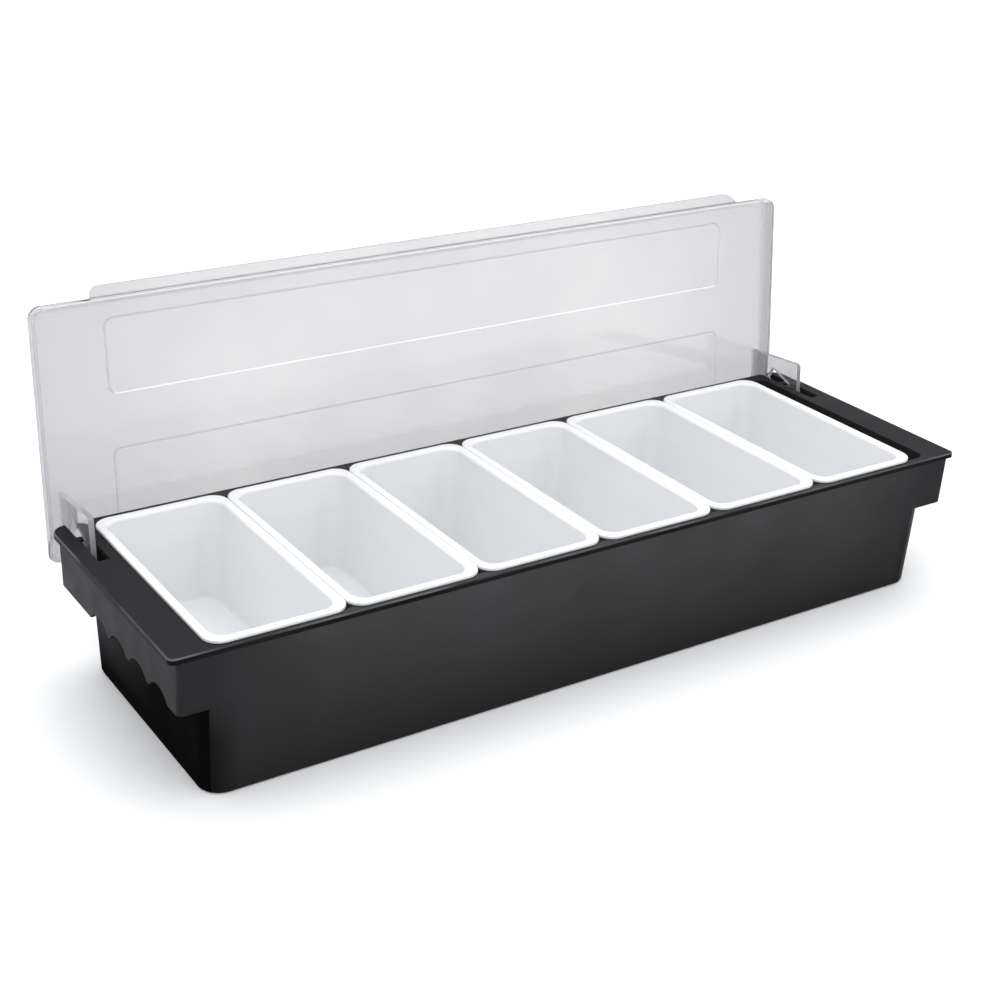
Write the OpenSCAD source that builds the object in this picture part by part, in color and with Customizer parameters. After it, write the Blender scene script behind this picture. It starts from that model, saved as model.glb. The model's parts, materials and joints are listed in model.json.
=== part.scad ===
// Condiment caddy: a black base on four finger grips, six lift-out inserts
// and one clear lid that swings on two hinge arms.
// X runs along the length, Y from front to back, Z up.
// The origin is the middle of the underside. The lid is drawn open.

/* [Base] */
// Length of the deck, end to end
deck_l = 500; // [440:1:560]
// Depth of the deck, front to back
deck_w = 158.5; // [145:1:180]
// Height of the deck's top above the table
body_h = 83; // [74:1:100]
// Thickness of the deck
deck_t = 3; // [2.5:0.1:3.5]
// Corner radius of the deck at the front
deck_front_r = 3.5; // [1:0.5:6]
// Corner radius of the deck at the back
deck_back_r = 9; // [6:0.5:12]
// Wall thickness of the tub
wall_t = 2.6; // [2:0.1:3.2]
// How far the front and back walls lean in at the underside
wall_lean = 6; // [2:0.5:8]
// Width of deck left at each end of the opening
end_strip = 20.2; // [19.5:0.1:24]
// Width of deck in front of the inserts
front_strip = 2.5; // [1:0.1:5]
// Width of deck behind the inserts
back_strip = 6; // [4:0.1:9]
// How far the insert rims bear on the front and back ledges
rim_bearing = 2; // [1:0.1:2.5]
// Corner radius of the opening
opening_r = 6; // [3:0.5:7]
// Radius of the tub's upright corners
tub_r = 12; // [9:0.5:12]
// Radius of the tub's bottom edge
tub_foot_r = 2; // [1:0.5:4]
// How far the tub's end walls lean in at the underside
tub_end_lean = 1.2; // [0:0.1:3.2]

/* [End skirts] */
// How far the deck overhangs the skirt at each end
skirt_inset = 4.2; // [3.6:0.1:7]
// Wall thickness of the skirt
skirt_t = 2.2; // [1.5:0.1:2.4]
// Depth of the skirt below the deck's top
skirt_drop = 32; // [28:0.5:38]
// Radius of one finger scallop
grip_r = 14; // [12:0.5:15]
// Height of one finger scallop
grip_rise = 5.5; // [3:0.5:8]
// Distance between scallops
grip_pitch = 25.2; // [23:0.1:26]
// Distance of the first scallop from the front
grip_start = 26; // [22:0.5:32]

/* [Inserts] */
// Free length left at the end of the row of inserts
row_slack = 10.8; // [4:0.1:16]
// Gap between two inserts
insert_gap = 0.5; // [0.4:0.1:1]
// Gap between the first insert and the end of the opening
seat_gap = 0.3; // [0.3:0.1:1]
// Thickness of an insert's rim
rim_t = 2; // [1.5:0.1:3]
// Flat width of an insert's rim
rim_w = 4; // [3.8:0.1:6]
// Round-over from the rim into the inside
rim_round = 1; // [0.6:0.1:1.5]
// Outer corner radius of an insert's rim
rim_r = 9; // [7.5:0.5:12]
// Inside depth of an insert below its rim's underside
insert_depth = 54.7; // [40:0.1:58]
// Wall thickness of an insert
insert_t = 1.6; // [1.4:0.1:2]
// How far each inside wall leans in at the bottom
insert_lean = 4.3; // [3:0.1:8]
// Radius between an insert's walls and its floor
insert_floor_r = 4; // [2:0.5:6]

/* [Lid] */
// How far the lid stops short of the deck at each end
lid_inset = 2; // [0.2:0.1:3]
// Depth of the lid, hinge edge to front wall
lid_w = 141.3; // [120:0.1:142]
// Thickness of the lid
lid_t = 2.5; // [1.8:0.1:3]
// Height of the lid's walls below its inner face
lid_wall_h = 5.5; // [4:0.1:7]
// Corner radius of the lid
lid_r = 6.5; // [6:0.5:12]
// Round-over along the lid's outer edge
lid_edge_r = 4; // [2.5:0.5:5]
// Gap between the closed lid and the insert rims
lid_gap = 0.4; // [0.3:0.1:2]
// Distance of the closed lid's hinge edge from the back of the deck
lid_back = 6.8; // [5:0.1:8]
// Angle that the lid opens through
open_angle = 94.5; // [60:0.1:95.3]
// Distance of the lifting lip from each end of the lid
lip_inset = 32.5; // [15:0.1:80]
// How far the lip stands out
lip_out = 6; // [4:0.1:6.2]
// How far the lip rises
lip_rise = 5; // [2:0.1:6]
// Thickness of the lip
lip_t = 2; // [1.5:0.1:2.5]
// Distance of the two sunk fields from each end of the lid
field_inset = 40.5; // [20:0.1:80]
// Width of each sunk field
field_w = 42.5; // [20:0.5:46]
// Distance of the outer field from the lid's front wall
field_margin = 12; // [10:0.5:16]
// Distance between the two fields
field_gap = 29.5; // [15:0.5:32]
// Depth of the sunk fields
field_sunk = 0.7; // [0.3:0.1:1]
// Corner radius of the sunk fields
field_r = 5; // [3:0.5:10]

// Distance from the hinge edge at which the side walls start
fade_start = 2; // [1:0.5:4]
// Distance from the hinge edge at which they have half their height
fade_half = 13.5; // [12:0.5:16]
// Distance from the hinge edge at which they have their full height
fade_full = 20; // [18:0.5:26]

/* [Hinge] */
// Distance of the hinge axis from the back of the deck
pivot_back = 14.6; // [13:0.1:15.5]
// Depth of the hinge axis below the deck's top
pivot_drop = 16.8; // [15:0.1:17.5]
// Distance of each arm's middle from the deck's end
arm_inset = 11.7; // [11.5:0.1:12]
// Thickness of a hinge arm
arm_t = 3; // [2:0.1:3.2]
// How far an arm stands out from the lid's inner face
arm_reach = 44.6; // [43:0.1:46]
// Distance of an arm's front edge from the lid's hinge edge
arm_rise = 39.6; // [36:0.1:39.8]
// Radius of an arm's outer corner
arm_corner_r = 2.5; // [2:0.5:5]
// Width of the arm's leg
leg_w = 8.6; // [6:0.1:9]
// Radius of the round eye at an arm's end
eye_r = 6; // [5:0.1:7]
// Diameter of the hinge peg
peg_d = 5; // [4:0.1:6]
// Running clearance around the peg
peg_gap = 0.06; // [0.02:0.01:0.1]
// Side gap between the arm and the peg's boss
boss_gap = 0.4; // [0.3:0.1:0.8]
// Radius of the boss that carries the peg
boss_r = 6; // [5:0.1:6.5]
// Gap on each side of the arm in its slot
slot_side_gap = 1.7; // [1:0.1:1.8]
// Gap between the swinging arm and the front end of its slot
slot_end_gap = 0.5; // [0.4:0.1:3]
// Distance of the stop bar's middle from the back of the deck
bar_back = 18.4; // [18:0.1:19]
// Width of the stop bar across the slot
bar_w = 3.5; // [2.5:0.1:4]
// How far the stop bar lies below the deck's top
bar_sunk = 0.5; // [0.3:0.1:1]

/* [Hidden] */
insert_n = 6;
inside_r_more = 4;           // inside corners are this much rounder than they need be
corner_steps = 6;            // straight stretches in each rounded corner
skin = 0.02;                 // thickness of the slices that a hull joins
over = 1;                    // how far a cut runs past what it cuts
mid_round = 1 - sin(45);     // share of its radius that a round edge draws in by at its middle
stop_gap = 0.3;              // between the open arm and the stop bar
swing_gap = 0.6;             // between the swinging arm and the stop bar

front_y = -deck_w / 2;
back_y = deck_w / 2;
deck_z = body_h;
deck_under_z = deck_z - deck_t;
skirt_z = deck_z - skirt_drop;

// opening and inserts
opening_l = deck_l - 2 * end_strip;
opening_front = front_y + front_strip + rim_bearing;
opening_back = back_y - back_strip - rim_bearing;
insert_pitch = (opening_l - row_slack) / insert_n;
insert_w = insert_pitch - insert_gap;
insert_len = deck_w - front_strip - back_strip;
insert_mid_y = front_y + front_strip + insert_len / 2;
row_start = -opening_l / 2 + seat_gap + insert_w / 2;
inside_inset = rim_w + rim_round;            // from the rim's edge to the inside wall
inside_r = rim_r - inside_inset + inside_r_more;
rim_top_z = deck_z + rim_t;
insert_floor_z = deck_z - insert_depth;

// tub: its end walls hang from the ends of the opening
tub_out = opening_l / 2 + wall_t;
blend_up = 3;                                // height above the skirt, where the inside blends
blend_h = 8;                                 // into the opening over this height
blend_z = skirt_z + blend_up;
blend_top_z = blend_z + blend_h;
skirt_out = deck_l / 2 - skirt_inset;
skirt_in = skirt_out - skirt_t;

// hinge, in the closed lid's own directions: s runs forward from the hinge
// edge, n runs down from the inner face
pivot_y = back_y - pivot_back;
pivot_z = deck_z - pivot_drop;
lid_in_z = rim_top_z + lid_gap + lid_wall_h;  // inner face of the closed lid
lid_l = deck_l - 2 * lid_inset;
lip_l = lid_l - 2 * lip_inset;
field_l = lid_l - 2 * field_inset;
lid_back_y = back_y - lid_back;
lid_front_y = lid_back_y - lid_w;
pivot_s = pivot_back - lid_back;
pivot_n = lid_in_z - pivot_z;
bar_y = back_y - bar_back;
bar_z = deck_z - bar_sunk;
bar_t = deck_t - bar_sunk;                   // depth of the bar
arm_x = deck_l / 2 - arm_inset;
corner_reach = norm([arm_rise - arm_corner_r - pivot_s, arm_reach - arm_corner_r - pivot_n]) + arm_corner_r;
slot_front = pivot_y - sqrt(corner_reach ^ 2 - (pivot_drop - deck_t) ^ 2) - slot_end_gap;
slot_w = arm_t + 2 * slot_side_gap;
bar_reach = norm([bar_y - bar_w / 2 - pivot_y, bar_z - pivot_z]);
swing_r = bar_reach + swing_gap;              // kept free around the hinge axis
// the open lid's stop bar, seen from the arm
bar_dy = bar_y - bar_w / 2 - pivot_y;
bar_dz = bar_z - pivot_z;
stop_n = pivot_n - bar_dy * sin(open_angle) - bar_dz * cos(open_angle) + stop_gap;
stop_s = pivot_s - bar_dy * cos(open_angle) + bar_dz * sin(open_angle) + stop_gap;

// Points of a rectangle with rounded corners; the radius differs front and back
function arc(cx, cy, r, a) =
    [for (k = [0:corner_steps]) let (b = a + 90 * k / corner_steps) [cx + r * cos(b), cy + r * sin(b)]];
function round_rect(x, y0, y1, rf, rb) = concat(
    arc(x - rb, y1 - rb, rb, 0), arc(-x + rb, y1 - rb, rb, 90),
    arc(-x + rf, y0 + rf, rf, 180), arc(x - rf, y0 + rf, rf, 270));

module slab(x, y0, y1, rf, rb, z, t) {
    translate([0, 0, z]) linear_extrude(t) polygon(round_rect(x, y0, y1, rf, rb));
}

// one thin slice of the leaning body at height z, drawn in by d
module lean_slice(x, r, z, d) {
    lean = wall_lean * (deck_z - z) / deck_z + d;
    slab(x - d, front_y + lean, back_y - lean, r, r, z, skin);
}

module tub_outside() {
    foot_x = tub_out - tub_end_lean;
    hull() {
        lean_slice(foot_x, tub_r - tub_foot_r, 0, tub_foot_r);
        lean_slice(foot_x, tub_r - tub_foot_r * mid_round, tub_foot_r * mid_round, tub_foot_r * mid_round);
        lean_slice(foot_x, tub_r, tub_foot_r, 0);
        lean_slice(tub_out, tub_r, skirt_z, 0);
    }
    hull() {
        lean_slice(tub_out, tub_r, skirt_z, 0);
        lean_slice(tub_out, tub_r, deck_under_z, 0);
    }
}

module tub_inside() {
    hull() {
        lean_slice(tub_out - tub_end_lean, tub_r - wall_t, wall_t, wall_t);
        lean_slice(tub_out, tub_r - wall_t, blend_z, wall_t);
    }
    hull() {
        lean_slice(tub_out, tub_r - wall_t, blend_z, wall_t);
        slab(opening_l / 2, opening_front, opening_back, opening_r, opening_r, blend_top_z, skin);
    }
    slab(opening_l / 2, opening_front, opening_back, opening_r, opening_r, blend_top_z, deck_z);
}

// the front wall's outer face at height z
function wall_y(z) = front_y + wall_lean * (deck_z - z) / deck_z;

module end_skirts() {
    low = skirt_z - over;
    difference() {
        hull() {
            lean_slice(skirt_out, deck_front_r, skirt_z, 0);
            lean_slice(skirt_out, deck_front_r, deck_under_z, 0);
        }
        // the space inside, open below and at the back
        translate([-skirt_in, 0, 0]) rotate([90, 0, 90]) linear_extrude(2 * skirt_in)
            polygon([[wall_y(low) + skirt_t, low], [wall_y(deck_under_z) + skirt_t, deck_under_z],
                [back_y + over, deck_under_z], [back_y + over, low]]);
        for (k = [0:3])
            translate([-deck_l, front_y + grip_start + k * grip_pitch, skirt_z + grip_rise - grip_r])
                rotate([0, 90, 0]) cylinder(r = grip_r, h = 2 * deck_l, $fn = 64);
    }
}

module slot_and_bar(side) {
    x = side * arm_x;
    difference() {
        translate([x - slot_w / 2, slot_front, deck_under_z - over])
            cube([slot_w, back_y - slot_front + over, deck_t + 2 * over]);
        translate([x - slot_w / 2 - over, bar_y - bar_w / 2, deck_under_z - 2 * over])
            cube([slot_w + 2 * over, bar_w, bar_t + 2 * over]);
    }
}

module hinge_peg(side) {
    boss_end = arm_x - arm_t / 2 - boss_gap;
    peg_end = arm_x + arm_t / 2 + boss_gap;
    translate([side * (tub_out - wall_t / 2), pivot_y, pivot_z]) rotate([0, side * 90, 0]) {
        cylinder(r = boss_r, h = boss_end - tub_out + wall_t / 2, $fn = 48);
        cylinder(d = peg_d, h = peg_end - tub_out + wall_t / 2, $fn = 48);
    }
}

module base() {
    color("#2f2f32") {
        difference() {
            union() {
                slab(deck_l / 2, front_y, back_y, deck_front_r, deck_back_r, deck_under_z, deck_t);
                tub_outside();
                end_skirts();
            }
            tub_inside();
            for (side = [-1, 1]) slot_and_bar(side);
        }
        for (side = [-1, 1]) hinge_peg(side);
    }
}

// one slice of an insert: x and y are drawn in by d at height z below the deck's top
module insert_slice(d, r, z) {
    translate([0, insert_mid_y, 0])
        slab(insert_w / 2 - d, d - insert_len / 2, insert_len / 2 - d, r, r, z, skin);
}

module insert(i) {
    body_inset = inside_inset - insert_t;
    low_z = insert_floor_z - insert_t;
    color("#f4f4f2") translate([row_start + (i - 1) * insert_pitch, 0, 0]) difference() {
        union() {
            translate([0, insert_mid_y, 0])
                slab(insert_w / 2, -insert_len / 2, insert_len / 2, rim_r, rim_r, deck_z, rim_t);
            hull() {
                insert_slice(body_inset, inside_r + insert_t, deck_z + rim_t / 2);
                insert_slice(body_inset + insert_lean, inside_r + insert_t, low_z + insert_floor_r);
                insert_slice(body_inset + insert_lean + insert_floor_r, inside_r, low_z);
            }
        }
        hull() {
            insert_slice(inside_inset, inside_r, rim_top_z - rim_round);
            insert_slice(inside_inset + insert_lean, inside_r, insert_floor_z + insert_floor_r);
            insert_slice(inside_inset + insert_lean + insert_floor_r * mid_round, inside_r,
                insert_floor_z + insert_floor_r * mid_round);
            insert_slice(inside_inset + insert_lean + insert_floor_r, inside_r - rim_round, insert_floor_z);
        }
        hull() {
            insert_slice(inside_inset, inside_r, rim_top_z - rim_round);
            insert_slice(inside_inset - rim_round * mid_round, inside_r, rim_top_z - rim_round * mid_round);
            insert_slice(inside_inset - rim_round, inside_r + rim_round, rim_top_z + skin);
        }
    }
}

// the closed lid, swung open about the hinge axis
module swung() {
    translate([0, pivot_y, pivot_z]) rotate([-open_angle, 0, 0])
        translate([0, -pivot_y, -pivot_z]) children();
}

module lid_slice(d, z) {
    slab(lid_l / 2 - d, lid_front_y + d, lid_back_y - d, lid_r, lid_r, z, skin);
}

module lid_shell() {
    top_z = lid_in_z + lid_t;
    low_z = lid_in_z - lid_wall_h;
    difference() {
        hull() {
            lid_slice(0, low_z);
            for (a = [0, 30, 60, 90])
                lid_slice(lid_edge_r * (1 - cos(a)), top_z - lid_edge_r + (lid_edge_r - skin) * sin(a));
        }
        // the inside, open at the hinge edge
        slab(lid_l / 2 - lid_t, lid_front_y + lid_t, lid_back_y + 2 * lid_r, lid_r - lid_t, lid_r - lid_t,
            low_z - over, lid_wall_h + over);
        // the walls fade out towards the hinge edge, so that they pass the deck's back corners
        translate([-lid_l, 0, 0]) rotate([90, 0, 90]) linear_extrude(2 * lid_l)
            polygon([[lid_back_y - fade_full, low_z], [lid_back_y - fade_half, lid_in_z - lid_wall_h / 2],
                [lid_back_y - fade_start, lid_in_z], [lid_back_y + lid_r, lid_in_z],
                [lid_back_y + lid_r, low_z - over], [lid_back_y - fade_full, low_z - over]]);
        for (k = [0, 1])
            translate([0, lid_front_y + field_margin + field_w / 2 + k * (field_w + field_gap), 0])
                slab(field_l / 2, -field_w / 2, field_w / 2, field_r, field_r, top_z - field_sunk, over);
    }
}

module lifting_lip() {
    low_z = lid_in_z - lid_wall_h;
    tip_y = lid_front_y - lip_out;
    tip_z = low_z + lip_rise;
    tip = lip_t * sin(45);               // the lip's tip is square to a lip that rises at 45 degrees
    root_z = low_z + 2 * tip;
    intersection() {
        translate([-lid_l / 2, 0, 0]) rotate([90, 0, 90]) linear_extrude(lid_l)
            polygon([[lid_front_y + lid_t / 2, low_z], [lid_front_y, low_z], [tip_y, tip_z],
                [tip_y + tip, tip_z + tip], [lid_front_y, root_z], [lid_front_y + lid_t / 2, root_z]]);
        slab(lip_l / 2, lid_front_y - lip_out, lid_front_y + 3 * lip_out, lip_out, lip_out, 0, 2 * body_h);
    }
}

// side view of a hinge arm, as points [s, n]
root_s = 11;                                  // where the arm leaves the panel
mouth_top = [32, 20.6];                       // where the mouth above the bar is highest
mouth_front = [24.5, arm_reach - leg_w];      // where it meets the leg
tooth_s = stop_s - stop_gap - bar_t / 2;      // top of the tooth that meets the bar
link_s = pivot_s + eye_r * 0.8;               // front edge of the link from leg to eye
heel_cut = 4;                                 // bevel of the leg's back corner
heel = pivot_s - eye_r;                       // back edge of the leg and the link
foot_a = [33, 78];                            // the foot follows the swing circle over these angles
foot_steps = 8;
arm_side = concat(
    [[root_s, 0], [arm_rise, 0]],
    [for (k = [0:corner_steps]) [arm_rise - arm_corner_r + arm_corner_r * cos(90 * k / corner_steps),
        arm_reach - arm_corner_r + arm_corner_r * sin(90 * k / corner_steps)]],
    [[heel + heel_cut, arm_reach], [heel, arm_reach - heel_cut], [heel, pivot_n], [link_s, pivot_n],
        [link_s, stop_n], [tooth_s, stop_n], [tooth_s, mouth_front[1]], mouth_front, mouth_top],
    [for (k = [0:foot_steps]) let (a = foot_a[0] + (foot_a[1] - foot_a[0]) * k / foot_steps)
        [pivot_s + swing_r * cos(a), pivot_n - swing_r * sin(a)]]);
// the arm's points in the part's own Y and Z; its root reaches halfway into the panel
arm_points = [for (p = arm_side) [lid_back_y - p[0], lid_in_z - p[1] + (p[1] > 0 ? 0 : lid_t / 2)]];

module hinge_arm(side) {
    translate([side * arm_x - arm_t / 2, 0, 0]) difference() {
        union() {
            rotate([90, 0, 90]) linear_extrude(arm_t) polygon(arm_points);
            translate([0, pivot_y, pivot_z]) rotate([0, 90, 0]) cylinder(r = eye_r, h = arm_t, $fn = 48);
        }
        translate([-over, pivot_y, pivot_z]) rotate([0, 90, 0])
            cylinder(d = peg_d + 2 * peg_gap, h = arm_t + 2 * over, $fn = 48);
    }
}

module lid() {
    color("#d8dade", 0.45) swung() {
        lid_shell();
        lifting_lip();
        for (side = [-1, 1]) hinge_arm(side);
    }
}

base();
insert(1);  // insert_1
insert(2);  // insert_2
insert(3);  // insert_3
insert(4);  // insert_4
insert(5);  // insert_5
insert(6);  // insert_6
lid();
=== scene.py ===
"""The looks of a condiment caddy: a black base, six white inserts and one clear lid, standing open."""

import json
import math

import bpy
from mathutils import Matrix, Vector

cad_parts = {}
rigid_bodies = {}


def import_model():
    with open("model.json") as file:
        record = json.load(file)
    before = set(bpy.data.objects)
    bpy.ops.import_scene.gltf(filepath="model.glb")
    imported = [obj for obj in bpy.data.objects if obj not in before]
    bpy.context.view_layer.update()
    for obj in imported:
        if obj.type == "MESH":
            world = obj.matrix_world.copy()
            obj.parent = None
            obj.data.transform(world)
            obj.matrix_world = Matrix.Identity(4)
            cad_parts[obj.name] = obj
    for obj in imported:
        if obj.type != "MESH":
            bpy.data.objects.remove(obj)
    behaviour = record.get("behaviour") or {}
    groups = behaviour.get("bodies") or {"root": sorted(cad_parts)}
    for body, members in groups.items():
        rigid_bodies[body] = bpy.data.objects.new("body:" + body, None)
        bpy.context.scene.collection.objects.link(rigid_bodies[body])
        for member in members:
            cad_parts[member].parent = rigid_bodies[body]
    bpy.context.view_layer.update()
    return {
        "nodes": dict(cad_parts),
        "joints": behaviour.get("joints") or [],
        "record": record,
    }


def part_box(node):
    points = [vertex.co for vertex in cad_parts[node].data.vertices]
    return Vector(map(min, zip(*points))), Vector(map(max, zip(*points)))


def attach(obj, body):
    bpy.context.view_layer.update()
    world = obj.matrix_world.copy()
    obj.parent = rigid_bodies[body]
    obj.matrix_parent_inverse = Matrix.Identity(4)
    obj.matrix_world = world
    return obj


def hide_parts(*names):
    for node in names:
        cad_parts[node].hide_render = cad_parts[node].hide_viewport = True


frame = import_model()

MM = 0.001
BODY_OF = {node: body for body, nodes in frame["record"]["behaviour"]["bodies"].items() for node in nodes}

# ---------------------------------------------------------------- sizes, in millimetres

RING_STEPS = 8           # stretches in a rounded corner
RING_TILT = 0.05         # height between two rings of a face that is nearly level
SAME = 0.001             # places closer than this are the same
MERGE = 0.01             # vertices of a CAD mesh closer than this are merged
FLAT_ANGLE = 0.5         # degrees: faces of a CAD mesh within it are one flat face
FLAT_WEIGHT = 80         # say of large faces in the shading: 50 is neutral, and more gives them more
OVERREACH = 1.0          # how far a cutting block reaches past what it cuts

# inserts
INSERT_COUNT = 6
RIM_W = 3.2              # flat width of the rim
RIM_EDGE_R = 0.7         # round-over on the rim's outer edge
RIM_UNDER_R = 0.3        # the same on its lower edge
RIM_ROUND = 2.0          # round-over from the rim into the inside
RIM_CORNER_R = 9.0       # rim's corner, seen from above
RIM_T = 2.0              # rim's depth
PAN_CORNER_R = 8.5       # inside corner
PAN_FLOOR_CORNER_R = 6.5  # the same at the floor
PAN_FLOOR_R = 3.0        # between walls and floor
PAN_LEAN = 4.3           # how far each wall leans in
PAN_T = 1.6              # wall thickness
PAN_FOOT_STEPS = 4       # stretches in the round-over under the pan
RIM_EDGE_STEPS = 3       # the same on the rim's outer edge
RIM_ROUND_STEPS = 4      # from the rim into the inside
PAN_FLOOR_STEPS = 6      # between walls and floor
PAN_SHARP = 40           # degrees: sharper edges aren't shaded smooth

# lid, measured on the closed lid
LID_T = 2.5              # panel thickness
LID_WALL = 5.5           # depth of the walls below the inner face
LID_CORNER_R = 6.5       # corner, seen from above
LID_EDGE_R = 4.0         # round-over along the outer edge
LID_INNER_R = 2.4        # fillet inside the walls
LID_RIM_R = 0.4          # round-over on the walls' free edge
LID_INNER_STEPS = 5      # stretches in the fillet
LID_EDGE_STEPS = 7       # the same along the outer edge
LID_SHARP = 35           # degrees: sharper edges aren't shaded smooth
LID_BACK = 6.8           # from the deck's back to the hinge edge
LID_DEPTH = 141.3        # hinge edge to front wall
RIM_TO_LID = 0.4         # gap under the closed lid
FADE = (2.0, 13.5, 20.0)  # from the hinge edge to where the side walls start, are half deep, and are full
LIP_OUT = 5.95           # how far the lip stands out
LIP_RISE = 0.75          # its slope
LIP_T = 2.0              # its thickness
LIP_ROOT_R = 0.2         # corner where it meets the wall
LIP_INSET = 32.5         # from the lid's end to the lip
FIELD_COUNT = 2
FIELD_INSET = 40.5       # from the lid's end to a sunk field
FIELD_W = 42.5           # a field's width, from front to back
FIELD_MARGIN = 12.0      # from the front wall to the first field
FIELD_GAP = 29.5         # from one field to the next
FIELD_SUNK = 0.7         # how deep a field is sunk
FIELD_SLOPE = 1.0        # width of the sloping step round a field
FIELD_R = 5.0            # a field's corner
STEP_LIMIT = 0.95        # faces whose normal points further than this up or down aren't steps or edges
STEP_UP = 0.475          # sides of a field's block that point further back than this leave steps that face
                         # up on the open lid
EDGE_LIMIT = 0.5         # faces whose normal points further than this along an axis face that way
ARM_SIDES = (235.5, 240.5)   # planes on both sides of a hinge arm
ARM_CUT = 0.2            # from the panel's inner face to where the arm is cut off

# base
DECK_T = 3.0             # height of the deck's side
DECK_EDGE_R = 0.7        # round-over on its upper edge
DECK_EDGE_STEPS = 2      # stretches in it
DECK_BORDER_X = 6.0      # strip along the deck's ends that holds its outer edge
DECK_BORDER_Y = 2.2      # the same along its long sides
LEVEL_LIMIT = 0.98       # faces whose normal points further than this up or down aren't the deck's side
TUB_END = 234.0          # the tub's end walls lie within this distance from the middle
END_LIMIT = 0.7          # walls whose normal points further than this along X are end walls
BASE_SHARP = 35          # degrees: sharper edges aren't shaded smooth

# places in a piece's list of materials
DECK_SIDE, DECK_CORNER, TUB_WALL = 1, 2, 3     # after the base's satin material
CLEAR, WHITE, GREY = 0, 1, 2                   # of the lid

# ---------------------------------------------------------------- camera

FOCAL_PX = 1758.56       # focal length in pixels of a 990 pixel frame
FRAME_PX = 990.0
AXIS_PX_Y = 370.0        # the optical axis meets the frame this far from its top
CAMERA_AT = (-0.51317, -0.73630, 0.48449)   # metres
CAMERA_AZIMUTH = 33.398  # degrees from +Y towards +X
CAMERA_DOWN = 20.329     # degrees below level
CAMERA_ROLL = 1.874      # degrees about its axis
SENSOR = 36.0            # width in millimetres
VIEW_FROM, VIEW_TO = 0.01, 50.0   # nearest and furthest distances in view, in metres


def make_camera():
    """The camera, with its axis above the middle of the frame."""
    data = bpy.data.cameras.new("camera")
    data.sensor_width = SENSOR
    data.lens = FOCAL_PX / FRAME_PX * SENSOR
    data.shift_y = (AXIS_PX_Y - FRAME_PX / 2) / FRAME_PX
    data.clip_start = VIEW_FROM
    data.clip_end = VIEW_TO
    camera = bpy.data.objects.new("camera", data)
    turn = (Matrix.Rotation(-math.radians(CAMERA_AZIMUTH), 4, "Z")
            @ Matrix.Rotation(math.radians(90 - CAMERA_DOWN), 4, "X")
            @ Matrix.Rotation(math.radians(CAMERA_ROLL), 4, "Z"))
    camera.matrix_world = Matrix.Translation(CAMERA_AT) @ turn
    bpy.context.scene.collection.objects.link(camera)
    bpy.context.scene.camera = camera


# ---------------------------------------------------------------- modelling by hand

def deselect():
    """Leaves nothing selected."""
    for o in bpy.context.view_layer.objects:
        o.select_set(False)


def activate(obj):
    """Makes obj the only selected one and the active one."""
    deselect()
    obj.select_set(True)
    bpy.context.view_layer.objects.active = obj


def edit_select(obj, kind, test):
    """In edit mode, selects the elements of a kind for which test is true. kind is VERT, EDGE or FACE."""
    bpy.ops.mesh.select_mode(type=kind)
    bpy.ops.mesh.select_all(action="DESELECT")
    bpy.ops.object.mode_set(mode="OBJECT")
    mesh = obj.data
    items = {"VERT": mesh.vertices, "EDGE": mesh.edges, "FACE": mesh.polygons}[kind]
    for item in items:
        item.select = bool(test(item))
    bpy.ops.object.mode_set(mode="EDIT")


def new_mesh(name):
    """An empty mesh to add primitives to, in edit mode."""
    deselect()
    obj = bpy.data.objects.new(name, bpy.data.meshes.new(name))
    bpy.context.scene.collection.objects.link(obj)
    activate(obj)
    bpy.ops.object.mode_set(mode="EDIT")
    return obj


def add_ring(obj, ring):
    """Adds a level rounded rectangle as a loop of edges. ring holds its sides, the radii of its front and
    back corners, and its height. Returns the numbers of its vertices."""
    x0, x1, y0, y1, front_r, back_r, z = ring
    bpy.ops.mesh.select_mode(type="VERT")
    bpy.ops.mesh.select_all(action="DESELECT")
    bpy.ops.object.mode_set(mode="OBJECT")
    start = len(obj.data.vertices)
    bpy.ops.object.mode_set(mode="EDIT")
    middle = ((x0 + x1) / 2 * MM, (y0 + y1) / 2 * MM, z * MM)
    bpy.ops.mesh.primitive_plane_add(size=1, location=middle)
    bpy.ops.transform.resize(value=((x1 - x0) * MM, (y1 - y0) * MM, 1), center_override=middle)
    for radius, front in ((front_r, True), (back_r, False)):
        edit_select(obj, "VERT", lambda v: v.index >= start and (v.co.y < middle[1]) == front
                    and abs(v.co.y - middle[1]) > ((y1 - y0) / 2 - SAME) * MM)
        bpy.ops.mesh.bevel(affect="VERTICES", offset_type="OFFSET", offset=radius * MM, segments=RING_STEPS)
    edit_select(obj, "FACE", lambda f: all(i >= start for i in f.vertices))
    bpy.ops.mesh.delete(type="ONLY_FACE")
    bpy.ops.object.mode_set(mode="OBJECT")
    end = len(obj.data.vertices)
    bpy.ops.object.mode_set(mode="EDIT")
    return range(start, end)


def shell_of_rings(name, rings):
    """A closed shell bridged from ring to ring, with a face across the first and the last. No two neighbours
    are level with each other, because level rings bridge with a twist."""
    obj = new_mesh(name)
    spans = [add_ring(obj, ring) for ring in rings]
    for near, far in zip(spans, spans[1:]):
        edit_select(obj, "EDGE", lambda e: (e.vertices[0] in near and e.vertices[1] in near)
                    or (e.vertices[0] in far and e.vertices[1] in far))
        bpy.ops.mesh.bridge_edge_loops()
    for span in (spans[0], spans[-1]):
        edit_select(obj, "EDGE", lambda e: e.vertices[0] in span and e.vertices[1] in span)
        bpy.ops.mesh.edge_face_add()
    bpy.ops.mesh.select_all(action="SELECT")
    bpy.ops.mesh.normals_make_consistent(inside=False)
    bpy.ops.object.mode_set(mode="OBJECT")
    return obj


def quarter(count):
    """Angles from 0 to 90 degrees, both ends among them, in radians."""
    return [math.pi / 2 * k / count for k in range(count + 1)]


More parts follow.
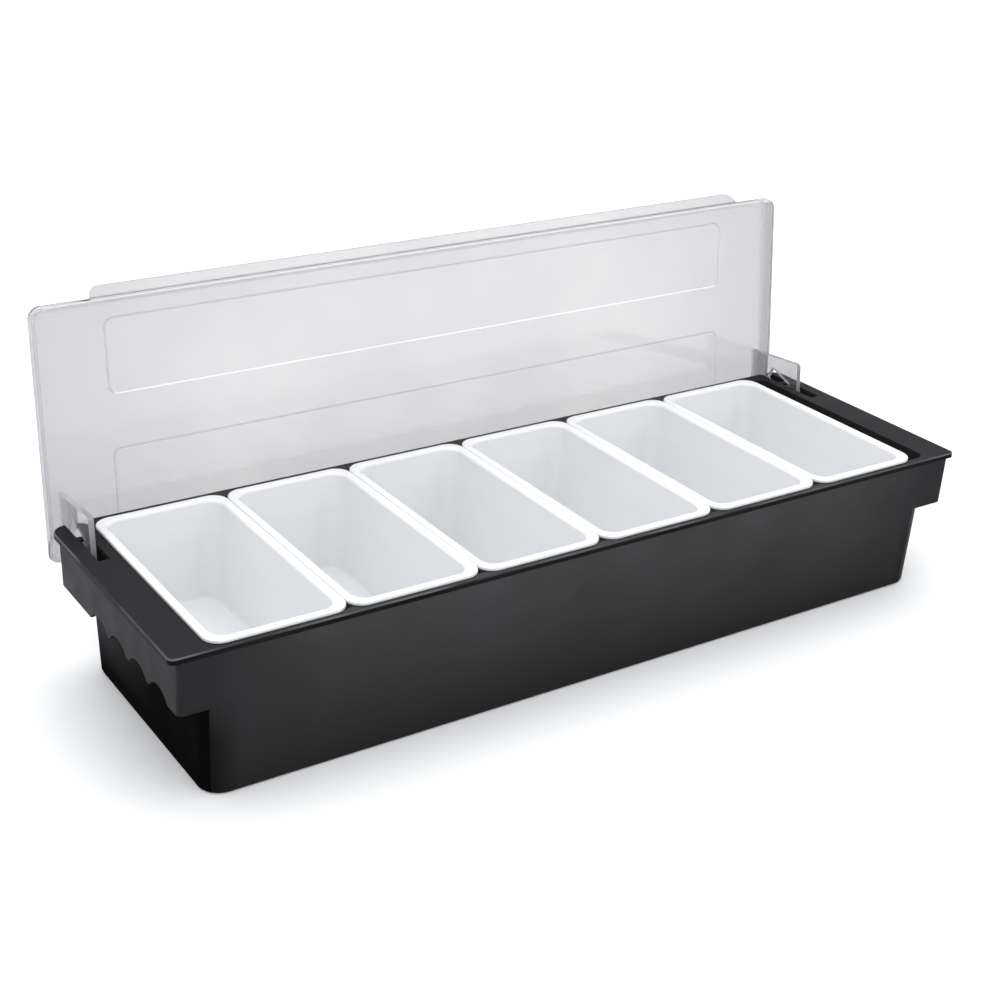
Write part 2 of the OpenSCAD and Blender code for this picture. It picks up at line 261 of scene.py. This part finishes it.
def apply(obj, kind, **settings):
    """Adds a modifier with its settings and applies it."""
    activate(obj)
    modifier = obj.modifiers.new(kind.lower(), kind)
    for key, value in settings.items():
        setattr(modifier, key, value)
    bpy.ops.object.modifier_apply(modifier=modifier.name)


def combine(obj, tool, operation):
    """Boolean of obj with tool, which is used up."""
    apply(obj, "BOOLEAN", operation=operation, object=tool, solver="EXACT")
    bpy.data.objects.remove(tool)


def smooth(obj, degrees):
    """Smooth shading, with edges sharper than the angle left sharp and the large faces kept flat. The faces
    are split into triangles afterwards, because the flat ones have holes and notches."""
    activate(obj)
    bpy.ops.object.shade_smooth_by_angle(angle=math.radians(degrees))
    apply(obj, "WEIGHTED_NORMAL", keep_sharp=True, weight=FLAT_WEIGHT)
    apply(obj, "TRIANGULATE", keep_custom_normals=True)


def dress(obj, *materials):
    """Gives a mesh its materials, in place of any it had."""
    obj.data.materials.clear()
    for material in materials:
        obj.data.materials.append(material)


def place(obj, node):
    """Finishes a piece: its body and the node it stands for."""
    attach(obj, BODY_OF[node])
    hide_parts(node)


def mm_box(node):
    """A CAD node's two corners, in millimetres."""
    low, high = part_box(node)
    return [v / MM for v in low], [v / MM for v in high]


# ---------------------------------------------------------------- materials

def linear(code):
    """A linear colour from an sRGB hex code, by the formula of the sRGB standard."""
    parts = [int(code[i:i + 2], 16) / 255 for i in (1, 3, 5)]
    return [p / 12.92 if p <= 0.04045 else ((p + 0.055) / 1.055) ** 2.4 for p in parts] + [1.0]


def add_node(tree, kind, settings=(), links=()):
    """Adds a node. settings sets its properties and inputs, and links joins its inputs to outputs."""
    node = tree.nodes.new(kind)
    for key, value in dict(settings).items():
        if isinstance(key, str) and hasattr(node, key):
            setattr(node, key, value)
        else:
            node.inputs[key].default_value = value
    for key, socket in dict(links).items():
        tree.links.new(socket, node.inputs[key])
    return node


def start_material(name, settings):
    """A material with one Principled shader. Returns it with its tree, shader and object coordinates."""
    material = bpy.data.materials.new(name)
    material.use_nodes = True
    tree = material.node_tree
    tree.nodes.clear()
    shader = add_node(tree, "ShaderNodeBsdfPrincipled", settings)
    add_node(tree, "ShaderNodeOutputMaterial", {}, {"Surface": shader.outputs[0]})
    where = add_node(tree, "ShaderNodeTexCoord").outputs["Object"]
    return material, tree, shader, where


def noise(tree, where, size_mm, detail=2.0, stretch=(1, 1, 1)):
    """Noise whose lumps are about size_mm across, drawn out by stretch. Gives values from 0 to 1."""
    mapping = add_node(tree, "ShaderNodeMapping", {"Scale": [1 / s for s in stretch]}, {"Vector": where})
    return add_node(tree, "ShaderNodeTexNoise", {"Scale": 1 / (size_mm * MM), "Detail": detail},
                    {"Vector": mapping.outputs[0]}).outputs[0]


def spread(tree, value, low, high, out_low, out_high):
    """Maps low..high onto out_low..out_high and holds it there."""
    return add_node(tree, "ShaderNodeMapRange",
                    {"From Min": low, "From Max": high, "To Min": out_low, "To Max": out_high},
                    {"Value": value}).outputs[0]


def mix_colours(tree, factor, first, second):
    """A colour between two hex codes."""
    return add_node(tree, "ShaderNodeMix", {"data_type": "RGBA", 6: linear(first), 7: linear(second)},
                    {0: factor}).outputs[2]


def bump(tree, height, depth_mm, under=None):
    """A bump of the given depth, laid over the one under it if there is one."""
    links = {"Height": height}
    if under:
        links["Normal"] = under
    return add_node(tree, "ShaderNodeBump", {"Strength": 1.0, "Distance": depth_mm * MM}, links).outputs[0]


# Grain and scratches are about 0.1 mm across on the real plastics. They are drawn 0.5 to 0.9 mm across,
# because finer ones wouldn't show.
#
# Noise is mostly between 0.3 and 0.7. A pattern uses one of these spans of it and holds what lies outside.
SOFT = (0.3, 0.7)
CRISP = (0.35, 0.65)


# The base is taken to be injection-moulded from black ABS with a light satin finish: a fine even grain, a
# soft orange peel from shrinking as it cools, and faint paler clouds. Over that, shade is painted by place:
# the long sides are paler near the deck and darker towards the foot, the ends are darker, and the tub's lower
# corners are darkest. This painted shade is matched to the real one as it is lit. The eye sees charcoal
# rather than jet black.
ABS_IOR, ABS_GLOSS = 1.5, 0.02                 # gloss far below the usual 0.5, matched
ABS_DARK, ABS_CLOUD = "#393939", "#414142"
# painted shade: darker ends, a darker foot and the darkest low ends of the tub
ABS_SHADED_END, ABS_SHADED_FOOT, ABS_SHADED_LOW_END = "#252527", "#262627", "#060606"
ABS_SHADED_END_FROM, ABS_SHADED_END_FULL = 0.170, 0.232      # distances from the middle, in metres
ABS_SHADED_END_MOST = 0.85                            # how much of its colour an end gets
ABS_SHADED_FOOT_FULL, ABS_SHADED_FOOT_FROM = 0.0, 0.075      # heights, in metres
ABS_SHADED_LOW_END_FULL, ABS_SHADED_LOW_END_FROM = 0.030, 0.054
ABS_CORNER = 0.214                             # where the tub's rounded corners start
ABS_CLOUD_MM, ABS_CLOUD_SPAN = 55, (0.35, 0.68)
ABS_WIPE_MM, ABS_WIPE_STRETCH = 16, (4, 1, 1)
ABS_ROUGHNESS = (0.30, 0.41)
ABS_PEEL_MM, ABS_PEEL_DEPTH_MM = 7, 0.016
ABS_GRAIN_MM, ABS_GRAIN_DEPTH_MM = 0.55, 0.006


def base_material():
    material, tree, shader, where = start_material("black_moulded_abs",
                                                   {"IOR": ABS_IOR, "Specular IOR Level": ABS_GLOSS})
    clouds = noise(tree, where, ABS_CLOUD_MM, 4)
    wipes = noise(tree, where, ABS_WIPE_MM, 5, ABS_WIPE_STRETCH)
    point = add_node(tree, "ShaderNodeSeparateXYZ", {}, {0: where})
    height = point.outputs["Z"]
    from_middle = add_node(tree, "ShaderNodeMath", {"operation": "ABSOLUTE"},
                           {0: point.outputs["X"]}).outputs[0]
    # painted shade by place: towards the ends, towards the foot and at the tub's low ends
    end = spread(tree, from_middle, ABS_SHADED_END_FROM, ABS_SHADED_END_FULL, 0, 1)
    low_end_shade = add_node(tree, "ShaderNodeMath", {"operation": "MULTIPLY"},
                         {0: spread(tree, from_middle, ABS_CORNER, ABS_SHADED_END_FULL, 0, 1),
                          1: spread(tree, height, ABS_SHADED_LOW_END_FULL, ABS_SHADED_LOW_END_FROM, 1, 0)}).outputs[0]
    colour = mix_colours(tree, spread(tree, clouds, *ABS_CLOUD_SPAN, 0, 1), ABS_DARK, ABS_CLOUD)
    for factor, code in ((spread(tree, end, 0, 1, 0, ABS_SHADED_END_MOST), ABS_SHADED_END),
                         (spread(tree, height, ABS_SHADED_FOOT_FULL, ABS_SHADED_FOOT_FROM, 1, 0), ABS_SHADED_FOOT),
                         (low_end_shade, ABS_SHADED_LOW_END)):
        colour = add_node(tree, "ShaderNodeMix", {"data_type": "RGBA", 7: linear(code)},
                          {0: factor, 6: colour}).outputs[2]
    tree.links.new(colour, shader.inputs["Base Color"])
    tree.links.new(spread(tree, wipes, *SOFT, *ABS_ROUGHNESS), shader.inputs["Roughness"])
    peel = bump(tree, noise(tree, where, ABS_PEEL_MM, 1), ABS_PEEL_DEPTH_MM)
    grain = bump(tree, noise(tree, where, ABS_GRAIN_MM, 2), ABS_GRAIN_DEPTH_MM, peel)
    tree.links.new(grain, shader.inputs["Normal"])
    return material


# The deck's side is painted a deeper black than the rest, as painted shade, and its upper corner is painted
# paler, as a painted highlight along the rounding, broken into patches. The eye sees a thin pale line over a
# dark one.
# painted shade on the side and painted highlight on the corner, two tones each
EDGE_SHADE_AND_HIGHLIGHT = {"side": ("#121213", "#1a1a1b"), "corner": ("#606062", "#363638")}
EDGE_PATCH_MM = 45
EDGE_ROUGHNESS = (0.3, 0.4)


def edge_material(part):
    material, tree, shader, where = start_material(f"black_moulded_abs_{part}",
                                                   {"IOR": ABS_IOR, "Specular IOR Level": ABS_GLOSS})
    patches = noise(tree, where, EDGE_PATCH_MM, 3)
    tree.links.new(mix_colours(tree, spread(tree, patches, *CRISP, 0, 1), *EDGE_SHADE_AND_HIGHLIGHT[part]),
                   shader.inputs["Base Color"])
    tree.links.new(spread(tree, patches, *SOFT, *EDGE_ROUGHNESS), shader.inputs["Roughness"])
    return material


# The tub's end walls lie behind the skirts. They are taken to be moulded in a blasted part of the tool: a
# matt black with a fine even grain. Their colour is painted shade from the skirts: near black low down and
# towards the front, paler high up towards the back, in soft smudges. The eye sees the scallops stand out
# against it.
TUB_END_IOR = 1.15                             # below the real 1.5, matched
TUB_END_DEEP_SHADE, TUB_END_LIGHT_SHADE = "#0a0a0b", "#4a4a4c"
TUB_END_FROM, TUB_END_FULL = 0.008, 0.045      # heights, in metres
TUB_END_NEAR, TUB_END_BACK = -0.01, 0.07       # places from front to back, in metres
TUB_END_SMUDGE_MM, TUB_END_SMUDGE_SPAN = 18, (0.3, 0.6)
TUB_END_SMUDGES = (0.7, 1.1)                   # what they make of the paler colour's share
TUB_END_ROUGHNESS = (0.55, 0.68)
TUB_END_GRAIN_MM, TUB_END_GRAIN_DEPTH_MM = 0.8, 0.02


def tub_end_material():
    material, tree, shader, where = start_material("black_blasted_abs_painted_shade",
                                                   {"IOR": TUB_END_IOR, "Specular IOR Level": ABS_GLOSS})
    point = add_node(tree, "ShaderNodeSeparateXYZ", {}, {0: where})
    smudges = noise(tree, where, TUB_END_SMUDGE_MM, 4)
    light_share = spread(tree, smudges, *TUB_END_SMUDGE_SPAN, *TUB_END_SMUDGES)
    # painted shade: darker low down and towards the front
    for share in (spread(tree, point.outputs["Z"], TUB_END_FROM, TUB_END_FULL, 0, 1),
                  spread(tree, point.outputs["Y"], TUB_END_NEAR, TUB_END_BACK, 0, 1)):
        light_share = add_node(tree, "ShaderNodeMath", {"operation": "MULTIPLY"}, {0: light_share, 1: share}).outputs[0]
    tree.links.new(mix_colours(tree, light_share, TUB_END_DEEP_SHADE, TUB_END_LIGHT_SHADE), shader.inputs["Base Color"])
    tree.links.new(spread(tree, smudges, *SOFT, *TUB_END_ROUGHNESS), shader.inputs["Roughness"])
    grain = noise(tree, where, TUB_END_GRAIN_MM, 2)
    tree.links.new(bump(tree, grain, TUB_END_GRAIN_DEPTH_MM), shader.inputs["Normal"])
    return material


# The inserts are moulded from white plastic with a polished tool, so their skin is smooth and glossy with a
# faint orange peel and faint cooler clouds. Below the rim the white is painted a touch cooler and greyer, as
# painted shade inside the pans. The eye sees clean white rims round pans that are slightly greyer inside.
PAN_IOR = 1.5
# the second colour is the cooler grey of the clouds and of the painted shade inside the pans
PAN_WHITE, PAN_CLOUD_AND_SHADE = "#f0f0f0", "#e6e8ea"
PAN_SHADE_FULL, PAN_SHADE_FROM = 0.062, 0.084    # heights, in metres
PAN_CLOUD_MM, PAN_CLOUD_SHARE = 38, 0.2
PAN_WIPE_MM, PAN_WIPE_STRETCH = 12, (1, 3, 1)
PAN_ROUGHNESS = (0.25, 0.27)
PAN_PEEL_MM, PAN_PEEL_DEPTH_MM = 22, 0.012
PAN_GRAIN_MM, PAN_GRAIN_DEPTH_MM = 0.8, 0.0015


def insert_material():
    material, tree, shader, where = start_material("white_moulded_plastic", {"IOR": PAN_IOR})
    clouds = noise(tree, where, PAN_CLOUD_MM, 3)
    height = add_node(tree, "ShaderNodeSeparateXYZ", {}, {0: where}).outputs["Z"]
    # painted shade: cooler and greyer below the rim, inside the pans
    depth = spread(tree, height, PAN_SHADE_FULL, PAN_SHADE_FROM, 1, 0)
    both = add_node(tree, "ShaderNodeMath", {"operation": "MULTIPLY_ADD", 1: PAN_CLOUD_SHARE},
                    {0: spread(tree, clouds, *CRISP, 0, 1), 2: depth}).outputs[0]
    cool = spread(tree, both, 0, 1 + PAN_CLOUD_SHARE, 0, 1)
    tree.links.new(mix_colours(tree, cool, PAN_WHITE, PAN_CLOUD_AND_SHADE), shader.inputs["Base Color"])
    wipes = noise(tree, where, PAN_WIPE_MM, 4, PAN_WIPE_STRETCH)
    tree.links.new(spread(tree, wipes, *SOFT, *PAN_ROUGHNESS), shader.inputs["Roughness"])
    peel = bump(tree, noise(tree, where, PAN_PEEL_MM, 1), PAN_PEEL_DEPTH_MM)
    grain = bump(tree, noise(tree, where, PAN_GRAIN_MM, 1), PAN_GRAIN_DEPTH_MM, peel)
    tree.links.new(grain, shader.inputs["Normal"])
    return material


# The lid is taken to be moulded from clear polystyrene. It has a light haze, fine scratches along its length
# and cloudy patches, as from wiping, so the eye sees a pale grey veil rather than glass, under a clear gloss.
# It is greyer towards its ends.
LID_IOR, LID_CLEARNESS = 1.3, 0.85             # IOR below polystyrene's 1.59, matched
LID_COAT, LID_COAT_ROUGHNESS, LID_COAT_IOR = 0.6, 0.06, 1.5
LID_CLEAR, LID_HAZY, LID_END_GREY = "#d4d3d3", "#cecdce", "#c3c2c3"
LID_END_GREY_FROM, LID_END_GREY_FULL = 0.14, 0.25      # distances from the middle, in metres
LID_CLOUD_MM = 70
LID_SCRATCH_MM, LID_SCRATCH_STRETCH, LID_SCRATCH_SPAN = 0.9, (40, 1, 1), (0.35, 0.75)
LID_ROUGHNESS = (0.07, 0.16)
LID_PEEL_MM, LID_PEEL_DEPTH_MM = 14, 0.006


def lid_material():
    material, tree, shader, where = start_material(
        "clear_moulded_polystyrene", {"IOR": LID_IOR, "Transmission Weight": LID_CLEARNESS,
                                      "Coat Weight": LID_COAT, "Coat Roughness": LID_COAT_ROUGHNESS,
                                      "Coat IOR": LID_COAT_IOR})
    clouds = noise(tree, where, LID_CLOUD_MM, 4)
    along = add_node(tree, "ShaderNodeSeparateXYZ", {}, {0: where}).outputs["X"]
    from_middle = add_node(tree, "ShaderNodeMath", {"operation": "ABSOLUTE"}, {0: along}).outputs[0]
    colour = mix_colours(tree, spread(tree, clouds, *CRISP, 0, 1), LID_CLEAR, LID_HAZY)
    # greyer towards the lid's ends
    end_grey = add_node(tree, "ShaderNodeMix", {"data_type": "RGBA", 7: linear(LID_END_GREY)},
                    {0: spread(tree, from_middle, LID_END_GREY_FROM, LID_END_GREY_FULL, 0, 1), 6: colour})
    tree.links.new(end_grey.outputs[2], shader.inputs["Base Color"])
    scratches = noise(tree, where, LID_SCRATCH_MM, 3, LID_SCRATCH_STRETCH)
    tree.links.new(spread(tree, scratches, *LID_SCRATCH_SPAN, *LID_ROUGHNESS), shader.inputs["Roughness"])
    tree.links.new(bump(tree, noise(tree, where, LID_PEEL_MM, 1), LID_PEEL_DEPTH_MM), shader.inputs["Normal"])
    return material


# The steps round the lid's sunk fields, the lid's outer edges and the edges of its arms are matt, as from
# spark-eroded parts of the tool, and scatter what passes through them. Those that face up when the lid stands
# open are painted whiter, a painted highlight of the light from above, and show as a white line. The others
# are painted grey, as painted shade, and show as a grey one.
STEP_IOR = 1.2                                 # below polystyrene's 1.59, matched
# white carries the painted highlight, grey the painted shade
STEP_COLOURS = {"white": ("#ffffff", "#f2f2f4"), "grey": ("#d0d0d4", "#c4c4ca")}
STEP_CLEARNESS = {"white": 1.0, "grey": 0.6}
STEP_ROUGHNESS = (0.35, 0.5)
STEP_GRAIN_MM, STEP_GRAIN_DEPTH_MM = 0.6, 0.02


def step_material(tone):
    material, tree, shader, where = start_material(
        f"matt_moulded_polystyrene_{tone}", {"IOR": STEP_IOR, "Transmission Weight": STEP_CLEARNESS[tone]})
    grain = noise(tree, where, STEP_GRAIN_MM, 2)
    tree.links.new(mix_colours(tree, spread(tree, grain, *CRISP, 0, 1), *STEP_COLOURS[tone]),
                   shader.inputs["Base Color"])
    tree.links.new(spread(tree, grain, *SOFT, *STEP_ROUGHNESS), shader.inputs["Roughness"])
    tree.links.new(bump(tree, grain, STEP_GRAIN_DEPTH_MM), shader.inputs["Normal"])
    return material


# ---------------------------------------------------------------- pieces

def make_insert(node):
    """One insert: a shell that runs from under the floor, round the rim and down to the floor inside."""
    low, high = mm_box(node)
    top = high[2]
    floor = low[2] + PAN_T
    lean_end = RIM_W + RIM_ROUND + PAN_LEAN
    under = lean_end - PAN_T

    def ring(inset, radius, z):
        return (low[0] + inset, high[0] - inset, low[1] + inset, high[1] - inset, radius, radius, z)

    rings = [ring(under + PAN_FLOOR_R * (1 - math.sin(a)), PAN_CORNER_R,
                  low[2] + PAN_FLOOR_R * (1 - math.cos(a))) for a in quarter(PAN_FOOT_STEPS)]
    rings.append(ring(RIM_W + RIM_ROUND - PAN_T, PAN_CORNER_R + PAN_T, top - RIM_T - RING_TILT))
    rings.append(ring(RIM_UNDER_R, RIM_CORNER_R, top - RIM_T))
    rings.append(ring(0, RIM_CORNER_R, top - RIM_T + RIM_UNDER_R))
    for a in quarter(RIM_EDGE_STEPS):
        rings.append(ring(RIM_EDGE_R * (1 - math.cos(a)), RIM_CORNER_R, top - RIM_EDGE_R * (1 - math.sin(a))))
    for a in quarter(RIM_ROUND_STEPS):
        rings.append(ring(RIM_W + RIM_ROUND * math.sin(a), PAN_CORNER_R,
                          top - RING_TILT - RIM_ROUND * (1 - math.cos(a))))
    floor_corner = PAN_CORNER_R - PAN_FLOOR_CORNER_R
    for a in quarter(PAN_FLOOR_STEPS):
        rings.append(ring(lean_end + PAN_FLOOR_R * (1 - math.cos(a)),
                          PAN_CORNER_R - floor_corner * math.sin(a),
                          floor + PAN_FLOOR_R * (1 - math.sin(a))))
    insert = shell_of_rings("white_insert", rings)
    smooth(insert, PAN_SHARP)
    return insert


def make_inserts(material):
    """One insert is modelled and copied into the other places."""
    first = make_insert("insert_1")
    dress(first, material)
    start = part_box("insert_1")[0]
    for number in range(1, INSERT_COUNT + 1):
        node = f"insert_{number}"
        insert = first if number == 1 else bpy.data.objects.new("copy", first.data.copy())
        insert.name = f"white_insert_{number}"
        if number > 1:
            bpy.context.scene.collection.objects.link(insert)
            insert.data.transform(Matrix.Translation(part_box(node)[0] - start))
        place(insert, node)


def copy_node(node, name):
    """A merged copy of a CAD node's mesh, with its flat faces whole."""
    source = frame["nodes"][node]
    obj = bpy.data.objects.new(name, source.data.copy())
    bpy.context.scene.collection.objects.link(obj)
    activate(obj)
    bpy.ops.object.mode_set(mode="EDIT")
    bpy.ops.mesh.select_all(action="SELECT")
    bpy.ops.mesh.remove_doubles(threshold=MERGE * MM)
    bpy.ops.mesh.dissolve_limited(angle_limit=math.radians(FLAT_ANGLE))
    bpy.ops.object.mode_set(mode="OBJECT")
    return obj


def make_base(*materials):
    """The base is a copy of the CAD one with the deck's upper outer edge rounded. Its materials are the satin
    one and those of the deck's side, the deck's upper corner and the tub's end walls."""
    base = copy_node("base", "black_base")
    high = mm_box("base")[1]

    def on_border(point):
        return abs(point.x) > (high[0] - DECK_BORDER_X) * MM or abs(point.y) > (high[1] - DECK_BORDER_Y) * MM

    weights = base.data.attributes.new("bevel_weight_edge", "FLOAT", "EDGE")
    for edge in base.data.edges:
        ends = [base.data.vertices[v].co for v in edge.vertices]
        if all(e.z > (high[2] - DECK_T / 2) * MM and on_border(e) for e in ends):
            weights.data[edge.index].value = 1
    apply(base, "BEVEL", width=DECK_EDGE_R * MM, segments=DECK_EDGE_STEPS, limit_method="WEIGHT")
    smooth(base, BASE_SHARP)
    dress(base, *materials)
    for face in base.data.polygons:
        level = abs(face.normal.z) > LEVEL_LIMIT
        x = face.center.x
        # the deck's side gets the painted shade and its upper corner the painted highlight
        if face.center.z > (high[2] - DECK_T) * MM and on_border(face.center) and not level:
            on_corner = face.center.z > (high[2] - DECK_EDGE_R) * MM
            face.material_index = DECK_CORNER if on_corner else DECK_SIDE
        # the tub's end walls get the painted shade of their own material
        elif abs(x) < TUB_END * MM and face.normal.x * math.copysign(1, x) > END_LIMIT:
            face.material_index = TUB_WALL
    place(base, "base")


def hinge():
    """The lid's joint: a point on its axis, the axis and the turn at which the lid is shut."""
    joint = next(j for j in frame["joints"] if j["name"] == "lid_hinge")
    return Vector(joint["pos_m"]), Vector(joint["axis"]), math.radians(joint["range_deg"][0])


def lid_panel(low, high, front, back, bottom, inner, top):
    """The lid's panel and walls, shut. The panel is level and the walls hang from its edges."""
    def ring(inset, radius, z):
        return (low[0] + inset, high[0] - inset, front + inset, back - inset, radius, radius, z)

    within = LID_CORNER_R - LID_T
    rings = [ring(LID_T + LID_INNER_R * (1 - math.cos(a)), within, inner - LID_INNER_R * (1 - math.sin(a)))
             for a in reversed(quarter(LID_INNER_STEPS))]
    rings.append(ring(LID_T, within, bottom + LID_RIM_R))
    rings.append(ring(LID_T - LID_RIM_R, within, bottom + RING_TILT))
    rings.append(ring(LID_RIM_R, LID_CORNER_R, bottom))
    for a in quarter(LID_EDGE_STEPS):
        rings.append(ring(LID_EDGE_R * (1 - math.cos(a)), LID_CORNER_R, top - LID_EDGE_R * (1 - math.sin(a))))
    return shell_of_rings("clear_lid", rings)


def matt_edges(lid, high_x, front, back, bottom):
    """Gives the outside of the closed lid's edges the matt materials. The front edge faces up once the lid is
    open, so it gets the white one with the painted highlight, and the others the grey one with the painted
    shade."""
    middle = Vector((0, (front + back) / 2, bottom)) * MM
    for face in lid.data.polygons:
        x, y, z = face.center - middle
        near_edge = max(abs(x) - high_x * MM, abs(y) - (back - front) / 2 * MM) > -LID_EDGE_R * MM
        outward = face.normal.x * x + face.normal.y * y > 0
        if near_edge and outward and z > 0 and abs(face.normal.z) < STEP_LIMIT:
            face.material_index = WHITE if face.normal.y < -EDGE_LIMIT else GREY


def sunk_field(half_x, y, top):
    """The block that sinks a field into the lid's outer face, with sloping sides."""
    half_y = FIELD_W / 2
    field = shell_of_rings("field", [
        (-half_x + inset, half_x - inset, y - half_y + inset, y + half_y - inset,
         FIELD_R - inset / 2, FIELD_R - inset / 2, z)
        for inset, z in ((FIELD_SLOPE, top - FIELD_SUNK), (0, top), (0, top + OVERREACH))])
    for face in field.data.polygons:
        if abs(face.normal.z) < STEP_LIMIT:
            # steps facing up on the open lid get the painted highlight, the others the painted shade
            face.material_index = WHITE if face.normal.y > STEP_UP else GREY
    return field


def lifting_lip(low, high, front, bottom):
    """A thin lip from the front wall's free edge, flaring out and up."""
    lip = shell_of_rings("lip", [
        (low[0] + LIP_INSET, high[0] - LIP_INSET, front - LIP_OUT, front + LID_T / 2,
         LIP_OUT, LIP_ROOT_R, bottom + z)
        for z in (0, LIP_T)])
    for v in lip.data.vertices:
        if v.co.y < (front - SAME) * MM:
            v.co.z += (front * MM - v.co.y) * LIP_RISE
    return lip


def hinge_arms(inner, pivot, open_turn):
    """The two hinge arms of the open lid, cut from the CAD lid's mesh and rooted halfway into the panel."""
    arms = copy_node("lid", "arms")
    outward = open_turn @ Vector((0, 0, 1))
    cut = open_turn @ (Vector((0, 0, (inner - ARM_CUT) * MM)) - pivot) + pivot
    activate(arms)
    bpy.ops.object.mode_set(mode="EDIT")
    bpy.ops.mesh.select_all(action="SELECT")
    bpy.ops.mesh.bisect(plane_co=cut, plane_no=outward, use_fill=True, clear_outer=True)
    edit_select(arms, "VERT", lambda v: not ARM_SIDES[0] < abs(v.co.x) / MM < ARM_SIDES[1])
    bpy.ops.mesh.delete(type="VERT")
    bpy.ops.object.mode_set(mode="OBJECT")
    for v in arms.data.vertices:
        if abs((v.co - cut).dot(outward)) < SAME * MM:
            v.co += outward * (ARM_CUT + LID_T / 2) * MM
    for face in arms.data.polygons:
        # the arms' edges get the grey material with the painted shade
        face.material_index = GREY if abs(face.normal.x) < EDGE_LIMIT else CLEAR
    return arms


def wedge_tool(places, heights, low_z, half_x):
    """A solid under a line through the given places along Y and their heights."""
    tool = new_mesh("wall_cut")
    for y0, y1, h0, h1 in zip(places, places[1:], heights, heights[1:]):
        bpy.ops.mesh.select_all(action="DESELECT")
        middle = Vector((0, (y0 + y1) / 2, (low_z + max(h0, h1)) / 2)) * MM
        bpy.ops.mesh.primitive_cube_add(size=1, location=middle)
        bpy.ops.transform.resize(value=(2 * half_x * MM, (y1 - y0) * MM, (max(h0, h1) - low_z) * MM),
                                 center_override=middle)
    bpy.ops.object.mode_set(mode="OBJECT")
    for v in tool.data.vertices:
        if v.co.z > (low_z + OVERREACH / 2) * MM:
            y = v.co.y / MM
            for y0, y1, h0, h1 in zip(places, places[1:], heights, heights[1:]):
                if y0 - SAME <= y <= y1 + SAME:
                    v.co.z = (h0 + (h1 - h0) * (y - y0) / (y1 - y0)) * MM
    activate(tool)
    bpy.ops.object.mode_set(mode="EDIT")
    bpy.ops.mesh.select_all(action="SELECT")
    bpy.ops.mesh.remove_doubles(threshold=SAME * MM)
    bpy.ops.mesh.select_all(action="DESELECT")
    bpy.ops.mesh.select_interior_faces()
    bpy.ops.mesh.delete(type="FACE")
    bpy.ops.object.mode_set(mode="OBJECT")
    return tool


def make_lid(*materials):
    """The lid is modelled shut, where its panel is level, and then swung open. Its materials are the clear
    one and the white and grey ones of its steps and edges."""
    pivot, axis, shut = hinge()
    low, high = mm_box("lid")
    bottom = mm_box("insert_1")[1][2] + RIM_TO_LID
    inner = bottom + LID_WALL
    top = inner + LID_T
    back = mm_box("base")[1][1] - LID_BACK
    front = back - LID_DEPTH

    lid = lid_panel(low, high, front, back, bottom, inner, top)
    dress(lid, *materials)
    matt_edges(lid, high[0], front, back, bottom)
    # the hinge edge has no wall, and the side walls fade out towards it
    places = [back - FADE[2], back - FADE[1], back - FADE[0], back + LID_CORNER_R]
    heights = [bottom - OVERREACH, inner - LID_WALL / 2, inner, inner]
    low_z = bottom - 3 * OVERREACH
    combine(lid, wedge_tool(places, heights, low_z, high[0] + LID_CORNER_R), "DIFFERENCE")
    for k in range(FIELD_COUNT):
        y = front + FIELD_MARGIN + FIELD_W / 2 + k * (FIELD_W + FIELD_GAP)
        combine(lid, sunk_field(high[0] - FIELD_INSET, y, top), "DIFFERENCE")
    combine(lid, lifting_lip(low, high, front, bottom), "UNION")

    swing = Matrix.Rotation(-shut, 4, axis)
    lid.data.transform(Matrix.Translation(pivot) @ swing @ Matrix.Translation(-pivot))
    combine(lid, hinge_arms(inner, pivot, swing.to_3x3()), "UNION")
    smooth(lid, LID_SHARP)
    place(lid, "lid")


# ---------------------------------------------------------------- floor and light

FLOOR_SIZE = 16                   # metres, as the other sizes of the studio are
FLOOR_COLOUR, FLOOR_ROUGHNESS = "#fafafa", 0.9
SKY_COLOUR = "#fcfdff"
SKY_LOW, SKY_HIGH = 0.25, 1.66    # the room's brightness at eye level and overhead
SKY_FROM, SKY_FULL = 0.05, 0.75   # how steeply up it has each: 0 is level, 1 is straight up
LAMP_AT, LAMP_AIM = Vector((0.15, 0.35, 1.5)), Vector((0, 0, 0.05))
LAMP_SIZE, LAMP_POWER = 1.0, 3.5


def make_floor():
    """A matt, nearly white floor, as a sheet of studio paper gives."""
    deselect()
    bpy.ops.mesh.primitive_plane_add(size=FLOOR_SIZE)
    floor = bpy.context.object
    floor.name = "floor"
    dress(floor, start_material("pale_floor", {"Roughness": FLOOR_ROUGHNESS,
                                               "Base Color": linear(FLOOR_COLOUR)})[0])


def make_light():
    """A soft studio: the room is pale overhead and darker at eye level, with one soft box."""
    world = bpy.data.worlds.new("studio")
    world.use_nodes = True
    tree = world.node_tree
    background = tree.nodes["Background"]
    direction = add_node(tree, "ShaderNodeTexCoord").outputs["Generated"]
    height = add_node(tree, "ShaderNodeSeparateXYZ", {}, {0: direction}).outputs["Z"]
    tree.links.new(spread(tree, height, SKY_FROM, SKY_FULL, SKY_LOW, SKY_HIGH), background.inputs["Strength"])
    background.inputs["Color"].default_value = linear(SKY_COLOUR)
    bpy.context.scene.world = world
    data = bpy.data.lights.new("overhead", "AREA")
    data.energy = LAMP_POWER
    data.size = LAMP_SIZE
    lamp = bpy.data.objects.new("overhead", data)
    lamp.location = LAMP_AT
    lamp.rotation_euler = (LAMP_AT - LAMP_AIM).to_track_quat("Z", "Y").to_euler()
    bpy.context.scene.collection.objects.link(lamp)


make_camera()
make_base(base_material(), edge_material("side"), edge_material("corner"), tub_end_material())
make_inserts(insert_material())
make_lid(lid_material(), step_material("white"), step_material("grey"))
make_floor()
make_light()
bpy.context.scene.view_settings.view_transform = "Standard"
